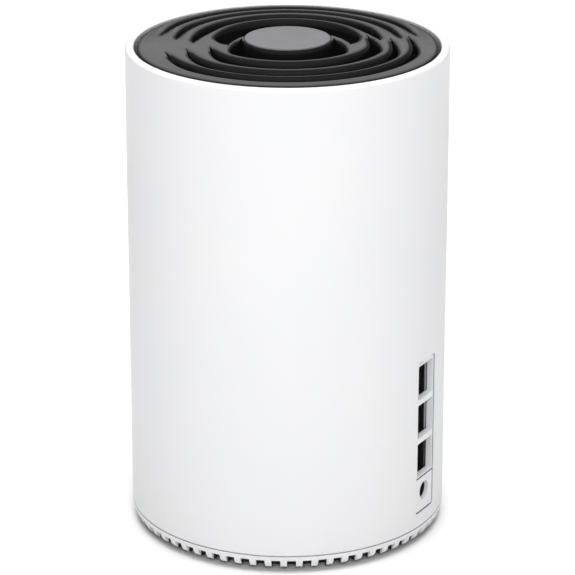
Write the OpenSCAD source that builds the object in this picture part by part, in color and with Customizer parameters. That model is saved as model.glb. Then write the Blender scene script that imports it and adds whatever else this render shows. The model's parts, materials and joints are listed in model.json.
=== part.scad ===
// Mesh wifi node: a white cylindrical case with a domed black top vent, three network
// sockets and a power inlet at the back (+Y), and a status light at the front (-Y).
// Millimetres, +Z up. The origin is on the floor, on the axis of the case.

/* [Case] */
// Outer diameter of the case
body_d = 107; // [106.5:0.1:107.5]
// Height from the floor to the top of the dome
body_h = 169; // [168.8:0.1:169.4]
// Wall thickness of the case
wall = 2.9; // [2.7:0.1:3]
// Rise of the dome from its edge to its middle
dome_rise = 2.6; // [2.2:0.1:3]

/* [Top vent] */
// Width of the gap between the case's rim and the black top
rim_gap = 0.25; // [0.2:0.05:0.4]
// Diameter of the round plate in the middle of the top
plate_d = 28.6; // [27:0.2:29]
// Depth of the groove floor below the edge of the dome
groove_depth = 4; // [3:0.2:4.2]

/* [Base] */
// Number of air slots round the lower edge
slot_count = 64; // [48:4:72]
// Width of an air slot
slot_w = 3; // [2:0.1:3.2]
// Height of the joint line between the case and the base
seam_z = 5.9; // [5.6:0.1:6.1]
// Travel of the reset button
reset_travel = 0.5; // [0.2:0.1:0.5]

/* [Ports] */
// Distance from one network socket to the next
jack_pitch = 13.97; // [13.9:0.01:14.1]
// Height of the middle network socket
jack_mid_z = 44.4; // [44.2:0.1:44.6]
// Height of the power inlet
inlet_z = 18.2; // [18:0.1:18.4]

/* [Hidden] */
$fn = 96;

cut = 1; // how far a cutting solid runs past the faces that it cuts
body_r = body_d / 2;
inner_r = body_r - wall;
grille_r = inner_r - rim_gap;
dome_edge_z = body_h - dome_rise;
shell_top_z = dome_edge_z + 0.2;
shell_bottom_z = seam_z + 0.15;
seam_chamfer = 0.5;

// Levels of the stack under the dome, from the top down
groove_floor_z = dome_edge_z - groove_depth;
grille_bottom_z = dome_edge_z - 6.2;
vent_plate_z = grille_bottom_z - 1.7;
vent_plate_t = 1.5;
chassis_top_z = vent_plate_z - 0.2;
chassis_ring_t = 3.6;

// Base levels
base_bottom_z = 1.3;
base_floor_z = 3.6;
foot_seat_z = 1.9;
slot_top_z = 4.5;
base_lip_top_z = 9.6;
foot_inner_r = 40;
foot_outer_r = 46.5;
base_edge_r = body_r - 3.1;
lip_outer_r = inner_r - 0.2;
lip_inner_r = lip_outer_r - 2;

// Recess round the ports, and the plane of the socket faces behind it
recess_w = 12.4;
recess_low_z = 11;
recess_high_z = 66;
recess_y = body_r - 0.6;
port_back_y = recess_y - 2.2;
jack_face_y = port_back_y - 0.2;
opening_w = 10.4;
opening_h = 12;
inlet_hole_r = 3.2;

// Gap lines in the floor of the recess: one all round it, and one below the lowest socket
gap_w = 0.5;
gap_depth = 1.5;
gap_line_z = inlet_z + 5.6;

// Power inlet behind its hole: bore for the plug, and the stepped centre pin
inlet_face_y = recess_y - 1.6;
inlet_collar_r = 3.85;
inlet_bore_r = 2.95;
inlet_floor_y = jack_face_y - 9.5;
pin_root_r = 1.3;
pin_r = 1;

// Network sockets: the board lies on their -X side
jack_count = 3;
jack_half_x = 6.5;
jack_half_z = 6.8;
jack_depth = 20.8;
shield_t = 0.2;
cavity_low_x = -3.9;
cavity_high_x = 3;
cavity_half_z = 5.95;
cavity_depth = 13.2;

// Main board: a vertical board in the YZ plane
board_x = -6.6;
board_t = 1.6;
board_y = [-42, 44.5];
board_z = [12.5, 150];
board_holes = [[33, 84], [33, 146], [-33, 20], [-33, 146]];
sink_holes = [[-22.5, 84], [-22.5, 146], [18.1, 84], [18.1, 146]];
chip_t = 1.1;
chip_y = -4;
processor_z = 112;
radio_z = [97, 115, 133];
can_t = 2.4;
can_skin = 0.25;
can_y = [-20, 14];
can_z = [90, 140];
pad_t = 0.5;
sink_t = 2.2;
sink_z = [80, 150];

// Reset button, with the switch above it
reset_x = -4.8;
reset_y = -20;
reset_cap_r = 1.8;
reset_gap = 0.15;
switch_z = 11.6;
plunger_tip_z = 10.2;

// Status light
led_z = 16;
led_pipe_r = 1;

// Screw circles
screw_angles = [45, 135, 225, 315];
base_screw_r = 43;
base_screw_seat_z = 2.8;
grille_screw_r = 42;
grille_screw_angles = [22, 112, 202, 292];

// Antennas on the chassis, one at each side
antenna_angles = [0, 90, 180, 270];
antenna_w = 16;
antenna_z = [108, 149];
panel_r = 48;
coax_r = 0.6;
plug_z = 96;

// Height of network socket i, 1 at the top
function jack_z(i) = jack_mid_z + (2 - i) * jack_pitch;

// Smooth step from 0 to 1
function ease(t) = let (u = min(max(t, 0), 1)) u * u * (3 - 2 * u);

// Height of the dome at radius r
function dome_z(r) = dome_edge_z + dome_rise * (1 - pow(r / grille_r, 2));

// Round seat of the centre plate
plate_r = plate_d / 2;
plate_seat_z = dome_z(plate_r) - 1.7;

// Grooves of the top: middle radius, half width, first and last angle, radius of the first
// and last tip, and how many degrees a tip takes to reach the full width. The upper grooves
// and the lower ones overlap at both sides, so each ridge forks round a tip.
grooves = [
  [44.6, 1.3, 8, 170, 43.5, 43, 30],
  [38, 1.35, 2, 178, 37.5, 36.7, 30],
  [29.8, 2.3, -4, 188, 30.3, 31, 34],
  [19.8, 4.7, -22, 205, 21.7, 20.8, 44],
  [42.8, 1.1, 192, 373, 41.3, 40.6, 34],
  [37.4, 1.3, 192, 368, 34.4, 33.9, 38],
  [30.1, 2.1, 195, 372, 26.8, 26.5, 38],
  [19.6, 4.6, 182, 358, 15.2, 15.2, 44]
];
groove_step = 6;

// Turn of the groove pattern about the vertical axis
swirl_turn = 120.5;

// Air slots in the floors of the inner grooves: radii, length, width, and the angles of one side
air_slot_rings = [19.6, 29.8];
air_slot_l = 3.2;
air_slot_w = 1.2;
air_slot_angles = [45:9:135];

// How open a groove g is at angle a, from 0 at a tip to 1
function openness(g, a) = ease((a - g[2]) / g[6]) * ease((g[3] - a) / g[6]);

// Middle radius of groove g at angle a
function groove_mid(g, a) =
  let (tip = a - g[2] < g[3] - a ? g[4] : g[5])
  g[0] + (tip - g[0]) * (1 - openness(g, a));

// A point of groove g's outline at angle a: side is 1 for its outer wall, -1 for its inner
function groove_point(g, a, side) =
  let (r = groove_mid(g, a) + side * g[1] * openness(g, a))
  r * [cos(a), sin(a)];

// A point on a smooth curve through four points, between the middle two
function spline(p, q, r, s, t) =
  0.5 * (2 * q + (r - p) * t + (2 * p - 5 * q + 4 * r - s) * t * t
    + (3 * q - p - 3 * r + s) * t * t * t);

// A smooth route through hand-picked points, n steps between each two
function smooth(pts, n) = [
  for (i = [0:len(pts) - 2])
    let (
      p = pts[max(i - 1, 0)],
      s = pts[min(i + 2, len(pts) - 1)]
    )
    for (k = [0:n - 1]) spline(p, pts[i], pts[i + 1], s, k / n),
  pts[len(pts) - 1]
];

function unit(v) = v / norm(v);

// A solid tube of radius r along a route, with flat ends
module tube(route, r, sides = 8) {
  n = len(route);
  function along(i) = unit(route[min(i + 1, n - 1)] - route[max(i - 1, 0)]);
  function across(i) = unit(cross(along(i), abs(along(i).z) > 0.9 ? [0.3, 1, 0] : [0, 0, 1]));
  points = [
    for (i = [0:n - 1])
      let (u = across(i), v = cross(u, along(i)))
      for (k = [0:sides - 1])
        route[i] + r * (cos(360 * k / sides) * u + sin(360 * k / sides) * v)
  ];
  walls = [
    for (i = [0:n - 2])
      for (k = [0:sides - 1])
        let (m = (k + 1) % sides)
        for (f = [[i * sides + k, i * sides + m, (i + 1) * sides + m],
                  [i * sides + k, (i + 1) * sides + m, (i + 1) * sides + k]]) f
  ];
  first = [[for (k = [sides - 1:-1:0]) k]];
  last = [[for (k = [0:sides - 1]) (n - 1) * sides + k]];
  polyhedron(points, concat(first, walls, last), convexity = 4);
}

// A box between two corners
module block(low, high) {
  translate(low) cube(high - low);
}

// A rectangle with round corners, centred
module round_rect(w, h, r) {
  square([w - 2 * r, h], center = true);
  square([w, h - 2 * r], center = true);
  for (x = [-1, 1], y = [-1, 1]) {
    translate([x * (w / 2 - r), y * (h / 2 - r)]) circle(r, $fn = 48);
  }
}

// A prism along +Y, from y1 to y2, of a shape drawn in X and Z
module along_y(y1, y2) {
  translate([0, y2, 0]) rotate([90, 0, 0]) linear_extrude(y2 - y1) children();
}

// A cylinder along +Y
module rod_y(x, z, r, y1, y2) {
  translate([x, y1, z]) rotate([-90, 0, 0]) cylinder(r = r, h = y2 - y1);
}

// A cylinder along +X
module rod_x(y, z, r, x1, x2) {
  translate([x1, y, z]) rotate([0, 90, 0]) cylinder(r = r, h = x2 - x1);
}

// Copies at angles about the vertical axis, at radius r
module ring_of(angles, r) {
  for (a = angles) rotate([0, 0, a]) translate([r, 0, 0]) children();
}

// A screw that points up, with its head below z
module screw_up(z, r, length, head_r, head_h) {
  translate([0, 0, z]) cylinder(r = r, h = length);
  translate([0, 0, z - head_h]) difference() {
    cylinder(r = head_r, h = head_h);
    cross_recess(head_r * 0.62, head_h * 0.55);
  }
}

// The cross in a screw head, cut up from z = 0
module cross_recess(reach, depth) {
  arm_w = reach * 0.42;
  for (a = [0, 90]) {
    rotate([0, 0, a]) translate([-reach, -arm_w / 2, -cut]) cube([2 * reach, arm_w, depth + cut]);
  }
}

// Outline of the recess round the ports, smaller by inset
module recess_outline(inset) {
  translate([0, (recess_low_z + recess_high_z) / 2])
    round_rect(recess_w - 2 * inset, recess_high_z - recess_low_z - 2 * inset, 1.2 - inset);
}

// Case: one tube with a rolled rim, a ledge for the top vent and the port recess
module outer_shell() {
  rim_r = 1.1;
  tube_h = shell_top_z - shell_bottom_z;
  color("white") difference() {
    rotate_extrude() {
      polygon([
        [inner_r, shell_bottom_z],
        [body_r - seam_chamfer, shell_bottom_z],
        [body_r, shell_bottom_z + seam_chamfer],
        [body_r, shell_top_z - rim_r],
        [inner_r, shell_top_z - rim_r]
      ]);
      translate([inner_r, shell_bottom_z + cut]) square([wall - rim_r, tube_h - cut]);
      translate([body_r - rim_r, shell_top_z - rim_r]) circle(rim_r, $fn = 48);
      translate([inner_r - 2, vent_plate_z]) square([2 + wall / 2, 1.6]);
    }
    block([-jack_half_x - 0.2, inner_r - 3, inlet_z - 4.2],
          [jack_half_x + 0.2, port_back_y, jack_z(1) + jack_half_z + 0.2]);
    along_y(recess_y, body_r + cut) recess_outline(0);
    along_y(recess_y - gap_depth, recess_y + cut) difference() {
      recess_outline(0);
      recess_outline(gap_w);
    }
    block([-recess_w / 2 + gap_w, recess_y - gap_depth, gap_line_z - gap_w / 2],
          [recess_w / 2 - gap_w, recess_y + cut, gap_line_z + gap_w / 2]);
    for (i = [1:jack_count]) {
      along_y(port_back_y - cut, body_r)
        translate([0, jack_z(i)]) round_rect(opening_w, opening_h, 0.3);
    }
    rod_y(0, inlet_z, inlet_hole_r, port_back_y - cut, body_r);
    rod_y(0, inlet_z, inlet_collar_r + 0.1, port_back_y - cut, inlet_face_y + 0.1);
    rod_y(0, led_z, led_pipe_r + 0.1, -body_r - cut, -inner_r + cut);
  }
}

// Dome of the top vent before its grooves are cut: it has a rounded edge and a flat underside
module dome_blank() {
  edge_r = 1.6;
  edge_z = dome_z(grille_r - edge_r) - edge_r;
  rotate_extrude() polygon([
    [0, grille_bottom_z],
    [grille_r, grille_bottom_z],
    for (a = [0:22.5:90]) [grille_r - edge_r * (1 - cos(a)), edge_z + edge_r * sin(a)],
    for (r = [44:-5.5:5]) [r, dome_z(r)],
    [0, dome_z(0)]
  ]);
}

// The space of groove g, down to the groove floor
module groove(g) {
  n = ceil((g[3] - g[2]) / groove_step);
  angles = [for (i = [0:n]) g[2] + (g[3] - g[2]) * i / n];
  translate([0, 0, groove_floor_z]) linear_extrude(12) polygon([
    for (i = [0:n]) groove_point(g, angles[i], 1),
    for (i = [n - 1:-1:1]) groove_point(g, angles[i], -1)
  ]);
}

// Top vent: ridges that fork at both sides, over a floor with air slots
module top_grille() {
  color("#1c1c1e") difference() {
    dome_blank();
    rotate([0, 0, swirl_turn]) for (g = grooves) groove(g);
    translate([0, 0, plate_seat_z]) cylinder(r = plate_r + 0.1, h = 6);
    ring_of(grille_screw_angles, grille_screw_r) {
      translate([0, 0, grille_bottom_z - cut]) cylinder(r = 1.5, h = cut + 1.4);
    }
    for (r = air_slot_rings, side = [0, 180], a = air_slot_angles) {
      rotate([0, 0, swirl_turn + side + a])
        translate([r - air_slot_l / 2, -air_slot_w / 2, grille_bottom_z - cut])
          cube([air_slot_l, air_slot_w, groove_floor_z - grille_bottom_z + 2 * cut]);
    }
  }
}

// Satin plate in the middle of the top
module centre_plate() {
  edge = 0.4;
  color("#8e8f93") rotate_extrude() polygon([
    [0, plate_seat_z],
    [plate_r, plate_seat_z],
    [plate_r, dome_z(plate_r) - edge],
    [plate_r - edge, dome_z(plate_r - edge)],
    for (r = [12:-3:3]) [r, dome_z(r)],
    [0, dome_z(0)]
  ]);
}

// Slotted plate under the top vent, which screens the inside
module vent_plate() {
  plate_r = inner_r - 2.3;
  color("#202022") difference() {
    translate([0, 0, vent_plate_z]) cylinder(r = plate_r, h = vent_plate_t);
    for (a = [0:15:345]) {
      rotate([0, 0, a + 4]) translate([16, -1.2, vent_plate_z - cut]) cube([18, 2.4, 4]);
    }
    ring_of(grille_screw_angles, grille_screw_r) {
      translate([0, 0, vent_plate_z - cut]) cylinder(r = 1.5, h = 4);
    }
  }
}

// Inner frame: two rings and four posts that carry the board and the antennas
module chassis() {
  ring_r = inner_r - 0.4;
  low_ring_r = lip_inner_r - 0.3;
  post_z = [6, chassis_top_z - 1];
  color("#d9d9d6") difference() {
    union() {
      difference() {
        translate([0, 0, chassis_top_z - chassis_ring_t]) cylinder(r = ring_r, h = chassis_ring_t);
        translate([0, 0, chassis_top_z - chassis_ring_t - cut]) cylinder(r = 38, h = 8);
      }
      difference() {
        translate([0, 0, 5.4]) cylinder(r = low_ring_r, h = 3.4);
        translate([0, 0, 4]) cylinder(r = 41, h = 8);
      }
      ring_of(screw_angles, 0) block([44, -4, post_z[0]], [47.5, 4, post_z[1]]);
      ring_of(screw_angles, base_screw_r) {
        translate([0, 0, base_floor_z + 0.1]) cylinder(r = 3.4, h = 9);
      }
      ring_of(antenna_angles, 0) {
        block([46, -11, 104], [panel_r, 11, chassis_top_z - 1]);
      }
      for (h = board_holes) {
        arm_end = -46 * cos(45);
        rod_x(h[0], h[1], 3, arm_end, board_x - board_t);
      }
    }
    for (h = board_holes) {
      rod_x(h[0], h[1], 1.15, board_x - board_t - 8, board_x - board_t + cut);
    }
    ring_of(screw_angles, base_screw_r) {
      translate([0, 0, base_floor_z - cut]) cylinder(r = 1.2, h = 8);
    }
    ring_of(grille_screw_angles, grille_screw_r) {
      translate([0, 0, chassis_top_z - 6]) cylinder(r = 1.5, h = 8);
    }
  }
}

// Base: a dished floor with a rounded lower edge, a locating lip and a ring of air slots
module base_cover() {
  color("white") difference() {
    rotate_extrude() polygon([
      [0, base_bottom_z],
      for (a = [0:15:90])
        [base_edge_r + (body_r - base_edge_r) * sin(a), seam_z - (seam_z - base_bottom_z) * cos(a)],
      [lip_outer_r, seam_z],
      [lip_outer_r, base_lip_top_z],
      [lip_inner_r, base_lip_top_z],
      [lip_inner_r, base_floor_z],
      [0, base_floor_z]
    ]);
    for (i = [0:slot_count - 1]) {
      rotate([0, 0, 360 * (i + 0.5) / slot_count])
        block([foot_outer_r + 0.5, -slot_w / 2, 0], [body_r + cut, slot_w / 2, slot_top_z]);
    }
    difference() {
      cylinder(r = foot_outer_r + 0.1, h = foot_seat_z);
      translate([0, 0, -cut]) cylinder(r = foot_inner_r - 0.1, h = 6);
    }
    ring_of(screw_angles, base_screw_r) {
      translate([0, 0, -cut]) cylinder(r = 1.7, h = 8);
      translate([0, 0, -cut]) cylinder(r = 2.8, h = cut + base_screw_seat_z);
    }
    translate([reset_x, reset_y, -cut]) cylinder(r = reset_cap_r + 0.3, h = 8);
  }
}

// Soft ring that the node stands on
module rubber_foot() {
  color("#3a3a3c") rotate_extrude() polygon([
    [foot_inner_r + 0.4, 0],
    [foot_outer_r - 0.4, 0],
    [foot_outer_r, 0.4],
    [foot_outer_r, foot_seat_z - 0.1],
    [foot_inner_r, foot_seat_z - 0.1],
    [foot_inner_r, 0.4]
  ]);
}

// Blank label on the underside, clear of the reset button
module rating_label() {
  color("#ececec") translate([0, 12, base_bottom_z - 0.2]) linear_extrude(0.19)
    round_rect(44, 26, 2);
}

// Vertical main board
module main_board() {
  color("#1d5a3a") difference() {
    block([board_x - board_t, board_y[0], board_z[0]], [board_x, board_y[1], board_z[1]]);
    for (h = concat(board_holes, sink_holes)) {
      rod_x(h[0], h[1], 1.6, board_x - board_t - cut, board_x + cut);
    }
  }
}

// Space inside a network socket: the plug's own space and the stepped way for its latch
module jack_cavity(front_y) {
  back_y = front_y - cavity_depth;
  block([cavity_low_x, back_y, -cavity_half_z], [cavity_high_x, front_y + cut, cavity_half_z]);
  block([0, back_y, -3.2], [4.7, front_y + cut, 3.2]);
  block([0, back_y, -2], [5.7, front_y + cut, 2]);
}

// Network socket i; the upper two are narrower, to leave room for their metal shields
module network_jack(i) {
  skin = i < jack_count ? shield_t + 0.05 : 0;
  low = [-jack_half_x + skin, jack_face_y - jack_depth + skin, -jack_half_z + skin];
  high = [jack_half_x - skin, jack_face_y - skin, jack_half_z - skin];
  color("#141416") translate([0, 0, jack_z(i)]) difference() {
    block(low, high);
    jack_cavity(jack_face_y - skin);
    for (k = [-3.5:3.5]) {
      block([cavity_low_x - 1.4, jack_face_y - 12, k * 1.02 - 0.3],
            [cavity_low_x + cut, jack_face_y - 1.4, k * 1.02 + 0.3]);
    }
  }
}

// Folded metal shield round network socket i, open towards the board
module jack_shield(i) {
  low = [-jack_half_x, jack_face_y - jack_depth, -jack_half_z];
  high = [jack_half_x, jack_face_y, jack_half_z];
  t = [shield_t, shield_t, shield_t];
  color("#a9abad") translate([0, 0, jack_z(i)]) difference() {
    block(low, high);
    block(low + [-cut, shield_t, shield_t], high - t);
    jack_cavity(jack_face_y);
  }
}

// Eight sprung contact wires of network socket i
module jack_contacts(i) {
  wire_w = 0.4;
  wire_t = 0.3;
  wire_l = 9.5;
  tilt = 16;
  color("#c9a24a") translate([0, 0, jack_z(i)]) for (k = [-3.5:3.5]) {
    translate([cavity_low_x - 1, jack_face_y - 2, k * 1.02 - wire_w / 2])
      rotate([0, 0, 180 + tilt]) cube([wire_t, wire_l, wire_w]);
  }
}

// Power inlet for a 5.5 mm barrel plug, with a round collar in the back of the case
module power_inlet() {
  color("#19191b") difference() {
    union() {
      block([board_x + 0.1, 34.4, inlet_z - 3.9], [4.5, jack_face_y, inlet_z + 3.9]);
      rod_y(0, inlet_z, inlet_collar_r, jack_face_y - cut, inlet_face_y);
    }
    rod_y(0, inlet_z, inlet_bore_r, inlet_floor_y, inlet_face_y + cut);
    rod_y(0, inlet_z, pin_root_r + 0.02, 36, jack_face_y);
  }
}

// Centre pin of the power inlet
module power_inlet_pin() {
  tip_y = jack_face_y - 1.2 - pin_r;
  color("#c8cacc") union() {
    rod_y(0, inlet_z, pin_root_r, 36.1, inlet_floor_y + 0.2);
    rod_y(0, inlet_z, pin_r, inlet_floor_y, tip_y);
    translate([0, tip_y, inlet_z]) sphere(pin_r);
  }
}

// Isolating transformers, one behind each network socket
module network_transformers() {
  color("#161618") for (i = [1:jack_count]) {
    block([board_x, 12, jack_z(i) - 6], [board_x + 4, 25, jack_z(i) + 6]);
  }
}

// A flat chip on the board's +X face, or on its -X face if side is -1
module chip(side, y, z, w, h, t) {
  face_x = side > 0 ? board_x : board_x - board_t - t;
  block([face_x, y - w / 2, z - h / 2], [face_x + t, y + w / 2, z + h / 2]);
}

module processor() {
  color("#2a2a2c") chip(-1, chip_y, processor_z, 19, 19, chip_t);
}

module memory_chips() {
  color("#242426") for (z = [98, 130]) chip(-1, chip_y, z, 14, 7.5, chip_t);
}

module flash_chip() {
  color("#242426") chip(-1, 16, 70, 8, 10, chip_t);
}

module radio_chips() {
  color("#2a2a2c") for (z = radio_z) chip(1, chip_y, z, 12, 12, chip_t);
}

module switch_chip() {
  color("#2a2a2c") chip(1, 0, 58, 12, 12, chip_t);
}

module power_inductors() {
  color("#4a4a4e") for (y = [-30, -20, -10]) chip(1, y, 38, 7, 7, 3.6);
}

// Upright round capacitors near the power inlet
module capacitors() {
  color("#3d3f46") for (y = [8, 18]) {
    rod_x(y, 20, 4, board_x, board_x + 11);
  }
}

// Sheet metal can on one side of the board, over its chips
module shield_can(side) {
  low_x = side > 0 ? board_x : board_x - board_t - can_t;
  open_x = low_x + (side > 0 ? -cut : can_skin);
  color("#b9bcbf") difference() {
    block([low_x, can_y[0], can_z[0]], [low_x + can_t, can_y[1], can_z[1]]);
    block([open_x, can_y[0] + can_skin, can_z[0] + can_skin],
          [open_x + can_t + cut - can_skin, can_y[1] - can_skin, can_z[1] - can_skin]);
  }
}

module front_shield_can() {
  shield_can(1);
}

module rear_shield_can() {
  shield_can(-1);
}

// Soft pads: from each chip to its can, and from each can to its heat sink
module thermal_pads() {
  inside_t = can_t - can_skin - chip_t;
  color("#6f93b8") {
    for (z = radio_z) chip_pad(board_x + chip_t, z, 10, inside_t);
    chip_pad(board_x - board_t - chip_t - inside_t, processor_z, 16, inside_t);
    for (x = [board_x + can_t, board_x - board_t - can_t - pad_t]) {
      block([x, can_y[0] + 4, can_z[0] + 4], [x + pad_t, can_y[1] - 4, can_z[1] - 4]);
    }
  }
}

// A square pad over a chip, from x
module chip_pad(x, z, w, t) {
  block([x, chip_y - w / 2, z - w / 2], [x + t, chip_y + w / 2, z + w / 2]);
}

// Finned heat sink; fins run up and down. Side 1 is the +X side of the board.
module heat_sink(side, fin_h) {
  gap = can_t + pad_t;
  face_x = side > 0 ? board_x + gap : board_x - board_t - gap;
  plate = side > 0 ? [face_x, face_x + sink_t] : [face_x - sink_t, face_x];
  fin = side > 0 ? [plate[1] - 0.1, plate[1] + fin_h] : [plate[0] - fin_h, plate[0] + 0.1];
  color("#9a9da1") difference() {
    union() {
      block([plate[0], -27, sink_z[0]], [plate[1], 22, sink_z[1]]);
      for (y = [-26:5.8:21]) block([fin[0], y, sink_z[0]], [fin[1], y + 1.2, sink_z[1]]);
    }
    for (h = sink_holes) rod_x(h[0], h[1], 1.4, plate[0] - cut, plate[1] + cut);
  }
}

module front_heat_sink() {
  heat_sink(1, 22);
}

module rear_heat_sink() {
  heat_sink(-1, 17);
}

// Flat antenna on its panel of the chassis, at side i: a thin board with a stamped strip
module antenna(i) {
  color("#c98f4a") rotate([0, 0, antenna_angles[i - 1]]) difference() {
    block([panel_r + 0.05, -antenna_w / 2, antenna_z[0]],
          [panel_r + 0.85, antenna_w / 2, antenna_z[1]]);
    for (z = [116, 126, 136]) {
      block([panel_r, -antenna_w / 2 + 3, z], [panel_r + cut, antenna_w / 2 + cut, z + 3]);
    }
  }
}

// Routes of the antenna leads: from the foot of each antenna to its plug on the board
coax_routes = [
  [[49.5, 0, 110], [49.5, 0, 104], [46, -2, 100], [39, -12, 98], [29, -24, 97],
   [14, -35, 96.5], [1, -41, 96], [-4.5, -42, 96], [-5.6, -39.6, 96]],
  [[0, 49.5, 110], [0, 49.3, 104], [0, 46.5, 100], [-2, 44.5, 97.5], [-5.2, 43.5, 96.2],
   [-5.6, 41.6, 96]],
  [[-49.5, 0, 110], [-49.5, 0, 104], [-46, 4, 100], [-40, 13, 98], [-34, 24, 97],
   [-24, 33, 96.5], [-14, 40, 96], [-10, 41.6, 96], [-9.2, 39.6, 96]],
  [[0, -49.5, 110], [0, -49.4, 104], [-3, -47, 100], [-7.5, -45.4, 97.5], [-10, -43, 96.2],
   [-9.2, -39.6, 96]]
];

module coax_lead(i) {
  color("#2b2b2d") tube(smooth(coax_routes[i - 1], 4), coax_r);
}

// Snap-on plugs where the leads meet the board
module coax_plugs() {
  face = [board_x, board_x, board_x - board_t - 1.6, board_x - board_t - 1.6];
  plug_y = [-38, 40, 38, -38];
  color("#c9a24a") for (i = [0:3]) {
    rod_x(plug_y[i], plug_z, 1.5, face[i], face[i] + 1.6);
  }
}

// Light source on the edge of the board
module status_led() {
  color("#e8e4d8") block([board_x, board_y[0] + 0.4, led_z - 0.9],
                         [board_x + 1.2, board_y[0] + 2.4, led_z + 0.9]);
}

// Clear guide from the light source to the window in the case
module light_pipe() {
  bar_y = board_y[0] - 3;
  color("#dfe7ea") union() {
    block([board_x, bar_y, led_z - 1.2], [1.2, bar_y + 2.6, led_z + 1.2]);
    rod_y(0, led_z, led_pipe_r, -body_r + 0.1, bar_y + 1);
  }
}

// Reset button: cap in the base, retaining flange and stem up to the switch
module reset_button() {
  color("#e9e9e9") translate([reset_x, reset_y, 0]) {
    translate([0, 0, foot_seat_z]) cylinder(r = reset_cap_r, h = 2);
    translate([0, 0, base_floor_z + reset_gap]) cylinder(r = 2.9, h = 0.9);
    translate([0, 0, base_floor_z]) cylinder(r = 1, h = plunger_tip_z - reset_gap - base_floor_z);
  }
}

// Switch body on the board, open at its lower end
module reset_switch() {
  color("#26262a") difference() {
    block([board_x, reset_y - 3, switch_z], [board_x + 3.6, reset_y + 3, switch_z + 3.8]);
    translate([reset_x, reset_y, switch_z - cut]) cylinder(r = 1.3, h = cut + 2.6);
  }
}

// Moving plunger of the switch
module reset_plunger() {
  plunger_h = switch_z + 2.6 - reset_travel - 0.3 - plunger_tip_z;
  color("#b5382f") translate([reset_x, reset_y, plunger_tip_z]) cylinder(r = 1, h = plunger_h);
}

// Four screws that hold the base to the chassis, hidden by the rubber foot
module base_screws() {
  color("#8c8f92") ring_of(screw_angles, base_screw_r) {
    screw_up(base_screw_seat_z, 1.15, 7, 2.5, 0.85);
  }
}

// A screw along X with its head on the +X side of x
module screw_x(y, z, x, r, length, head_r) {
  translate([x, y, z]) rotate([0, -90, 0]) screw_up(0, r, length, head_r, 1.6);
}

module board_screws() {
  color("#8c8f92") for (h = board_holes) screw_x(h[0], h[1], board_x, 1.1, 8, 2.8);
}

module grille_screws() {
  color("#8c8f92") ring_of(grille_screw_angles, grille_screw_r) {
    screw_up(chassis_top_z - chassis_ring_t, 1.4, groove_floor_z - chassis_top_z + 2.4, 2.7, 1.8);
  }
}

// Four screws that pull the two heat sinks together through the board
module heat_sink_screws() {
  stack_t = can_t + pad_t + sink_t;
  head_x = board_x + stack_t;
  reach = 2 * stack_t + board_t + 1;
  color("#8c8f92") for (h = sink_holes) screw_x(h[0], h[1], head_x, 1.3, reach, 2.2);
}

outer_shell();
top_grille();
centre_plate();
vent_plate();
chassis();
base_cover();
rubber_foot();
rating_label();
main_board();
network_jack(1);  // network_jack_1
network_jack(2);  // network_jack_2
network_jack(3);  // network_jack_3
jack_shield(1);  // jack_shield_1
jack_shield(2);  // jack_shield_2
jack_contacts(1);  // jack_contacts_1
jack_contacts(2);  // jack_contacts_2
jack_contacts(3);  // jack_contacts_3
power_inlet();
power_inlet_pin();
network_transformers();
processor();
memory_chips();
flash_chip();
radio_chips();
switch_chip();
power_inductors();
capacitors();
front_shield_can();
rear_shield_can();
thermal_pads();
front_heat_sink();
rear_heat_sink();
antenna(1);  // antenna_1
antenna(2);  // antenna_2
antenna(3);  // antenna_3
antenna(4);  // antenna_4
coax_lead(1);  // coax_lead_1
coax_lead(2);  // coax_lead_2
coax_lead(3);  // coax_lead_3
coax_lead(4);  // coax_lead_4
coax_plugs();
status_led();
light_pipe();
reset_button();
reset_switch();
reset_plunger();
base_screws();
board_screws();
grille_screws();
heat_sink_screws();
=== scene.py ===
"""Looks of the mesh wifi node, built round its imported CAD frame. Metres; MM turns millimetres into them."""

import json
import math

import bmesh
import bpy
import numpy as np
from mathutils import Matrix, Vector

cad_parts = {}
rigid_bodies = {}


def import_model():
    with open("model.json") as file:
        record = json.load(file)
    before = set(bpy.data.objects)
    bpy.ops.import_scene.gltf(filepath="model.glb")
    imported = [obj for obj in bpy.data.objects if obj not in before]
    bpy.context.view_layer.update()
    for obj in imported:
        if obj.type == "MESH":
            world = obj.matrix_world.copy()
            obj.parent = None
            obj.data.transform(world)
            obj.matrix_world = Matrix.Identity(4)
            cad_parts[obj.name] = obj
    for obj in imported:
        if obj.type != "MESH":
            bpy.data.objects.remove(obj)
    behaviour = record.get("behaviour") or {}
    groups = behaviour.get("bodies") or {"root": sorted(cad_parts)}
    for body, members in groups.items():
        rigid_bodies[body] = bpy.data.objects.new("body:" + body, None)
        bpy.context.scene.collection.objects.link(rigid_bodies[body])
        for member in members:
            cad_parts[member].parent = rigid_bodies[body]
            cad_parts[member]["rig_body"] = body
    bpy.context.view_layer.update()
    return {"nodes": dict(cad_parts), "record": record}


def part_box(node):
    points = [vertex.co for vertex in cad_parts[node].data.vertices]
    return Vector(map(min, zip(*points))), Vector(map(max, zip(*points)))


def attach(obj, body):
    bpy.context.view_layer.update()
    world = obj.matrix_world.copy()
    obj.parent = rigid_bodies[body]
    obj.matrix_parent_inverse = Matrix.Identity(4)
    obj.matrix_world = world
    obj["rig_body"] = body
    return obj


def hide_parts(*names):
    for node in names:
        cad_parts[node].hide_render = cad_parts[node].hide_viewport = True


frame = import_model()
MM = 0.001
NODES = frame["nodes"]
SLOT_OF = {s["node"]: s["material_slot"] for s in frame["record"]["subparts"]}

# ---------------------------------------------------------------- sizes, from the frame and the design, in mm


def box_mm(node):
    """Lowest and highest corner of a CAD node, in millimetres."""
    low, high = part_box(node)
    return low / MM, high / MM


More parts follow.
